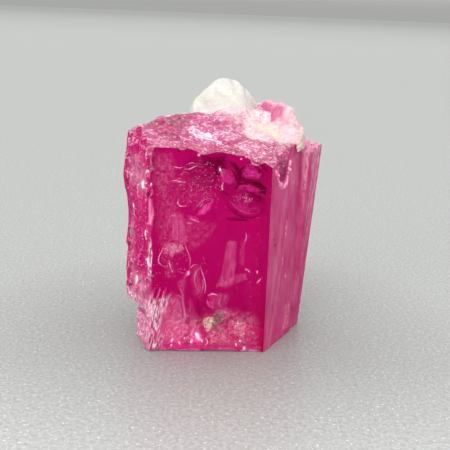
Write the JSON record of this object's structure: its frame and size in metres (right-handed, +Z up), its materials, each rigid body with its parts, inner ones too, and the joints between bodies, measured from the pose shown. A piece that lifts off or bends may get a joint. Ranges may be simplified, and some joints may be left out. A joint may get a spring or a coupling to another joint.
{
  "type": "red beryl crystal",
  "caption": "Natural red beryl crystal, a broken-topped six-sided prism with a clear magenta front, hazy sides and remains of pale host rock on top.",
  "frame": {"origin": "on the flat foot the crystal stands on, under the middle of its outline", "axes": "+Z up along the prism, -Y out of the clear front face, +X to the right of someone looking at that face"},
  "size_m": [0.0074, 0.005, 0.0096],
  "materials": {
    "beryl": "gloss",
    "white_rock": "matte",
    "cream_rock": "matte"
  },
  "bodies": {
    "root": {"beryl_crystal": "beryl", "white_matrix_cap": "white_rock", "cream_crust": "cream_rock"}
  },
  "joints": []
}
